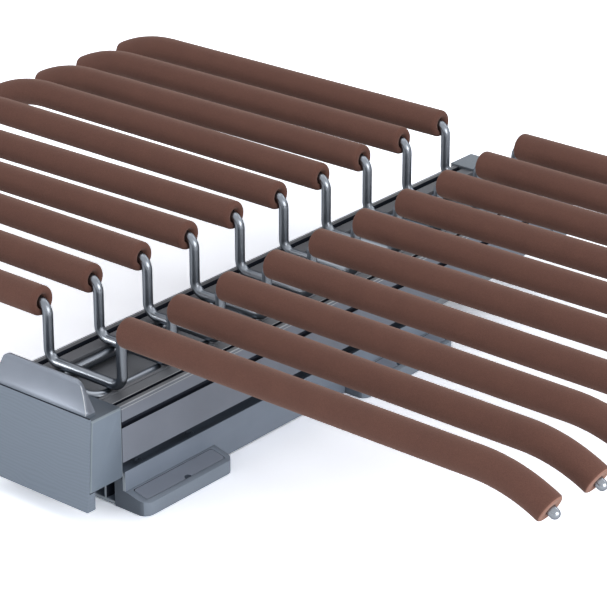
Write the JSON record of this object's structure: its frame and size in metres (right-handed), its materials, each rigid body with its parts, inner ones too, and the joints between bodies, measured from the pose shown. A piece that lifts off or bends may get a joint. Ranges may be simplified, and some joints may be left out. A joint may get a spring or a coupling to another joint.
{
  "type": "pull out trouser rack",
  "caption": "Pull out rack with rows of padded arms beside a sliding deck, which rides on ball runners over a rail with screw down feet.",
  "frame": {"origin": "middle of the outer fixing holes, on the face that the feet stand on", "axes": "+X across the rack, along the arms; +Y from the front panel to the rear; +Z away from the mounting face, through the arms. The carriage pulls out along -Y."},
  "size_m": [0.69, 0.4937, 0.1192],
  "materials": {
    "wire_steel": "dark plated satin wire",
    "sleeve_flock": "short brown flock on a foam sleeve",
    "rail_paint": "blue grey satin powder coat",
    "foot_paint": "blue grey satin powder coat",
    "cover_paint": "blue grey satin powder coat",
    "deck_paint": "blue grey satin powder coat",
    "cap_paint": "light blue grey satin coat",
    "rear_cap_plastic": "moulded blue grey",
    "panel_grain": "grey foil with a fine level grain",
    "dark_plastic": "moulded dark grey",
    "runner_steel": "zinc plated strip",
    "cage_steel": "zinc plated strip",
    "ball_steel": "polished",
    "screw_steel": "zinc plated",
    "damper_grey": "moulded grey",
    "rod_steel": "polished",
    "pad_rubber": "soft black"
  },
  "bodies": {
    "mounting_rail": {"fixed_rail": "rail_paint", "outer_member_left": "runner_steel", "outer_member_right": "runner_steel", "outer_screws": "screw_steel", "foot_front_left": "foot_paint", "foot_front_right": "foot_paint", "foot_rear_left": "foot_paint", "foot_rear_right": "foot_paint", "cover_front_left": "cover_paint", "cover_front_right": "cover_paint", "cover_rear_left": "cover_paint", "cover_rear_right": "cover_paint", "foot_screws": "screw_steel", "damper_cylinder": "damper_grey", "damper_rod": "rod_steel", "damper_clips": "dark_plastic", "stop_pads": "pad_rubber"},
    "carriage": {"carriage_deck": "deck_paint", "front_cap": "cap_paint", "face_panel": "panel_grain", "rear_cap": "rear_cap_plastic", "welded_loop": "wire_steel", "rod_holders": "dark_plastic", "wire_1": "wire_steel", "wire_2": "wire_steel", "wire_3": "wire_steel", "wire_4": "wire_steel", "wire_5": "wire_steel", "wire_6": "wire_steel", "wire_7": "wire_steel", "wire_8": "wire_steel", "wire_9": "wire_steel", "wire_10": "wire_steel", "sleeves_1": "sleeve_flock", "sleeves_2": "sleeve_flock", "sleeves_3": "sleeve_flock", "sleeves_4": "sleeve_flock", "sleeves_5": "sleeve_flock", "sleeves_6": "sleeve_flock", "sleeves_7": "sleeve_flock", "sleeves_8": "sleeve_flock", "sleeves_9": "sleeve_flock", "sleeves_10": "sleeve_flock", "inner_member_left": "runner_steel", "inner_member_right": "runner_steel", "striker": "dark_plastic", "cap_screws": "screw_steel", "inner_screws": "screw_steel"},
    "runner_middle": {"middle_member_left": "runner_steel", "middle_member_right": "runner_steel"},
    "outer_ball_cages": {"outer_cages": "cage_steel", "outer_balls": "ball_steel"},
    "inner_ball_cages": {"inner_cages": "cage_steel", "inner_balls": "ball_steel"}
  },
  "joints": [
    {"name": "carriage_slide", "type": "slide", "parent": "mounting_rail", "child": "carriage", "axis": [0, -1, 0], "range_m": [0, 0.4]},
    {"name": "runner_middle_slide", "type": "slide", "parent": "mounting_rail", "child": "runner_middle", "axis": [0, -1, 0], "range_m": [0, 0.2]},
    {"name": "outer_cage_slide", "type": "slide", "parent": "mounting_rail", "child": "outer_ball_cages", "axis": [0, -1, 0], "range_m": [0, 0.1]},
    {"name": "inner_cage_slide", "type": "slide", "parent": "mounting_rail", "child": "inner_ball_cages", "axis": [0, -1, 0], "range_m": [0, 0.3]}
  ],
  "couplings": [
    {"joint": "runner_middle_slide", "follows": "carriage_slide", "ratio": 0.5},
    {"joint": "outer_cage_slide", "follows": "carriage_slide", "ratio": 0.25},
    {"joint": "inner_cage_slide", "follows": "carriage_slide", "ratio": 0.75}
  ]
}
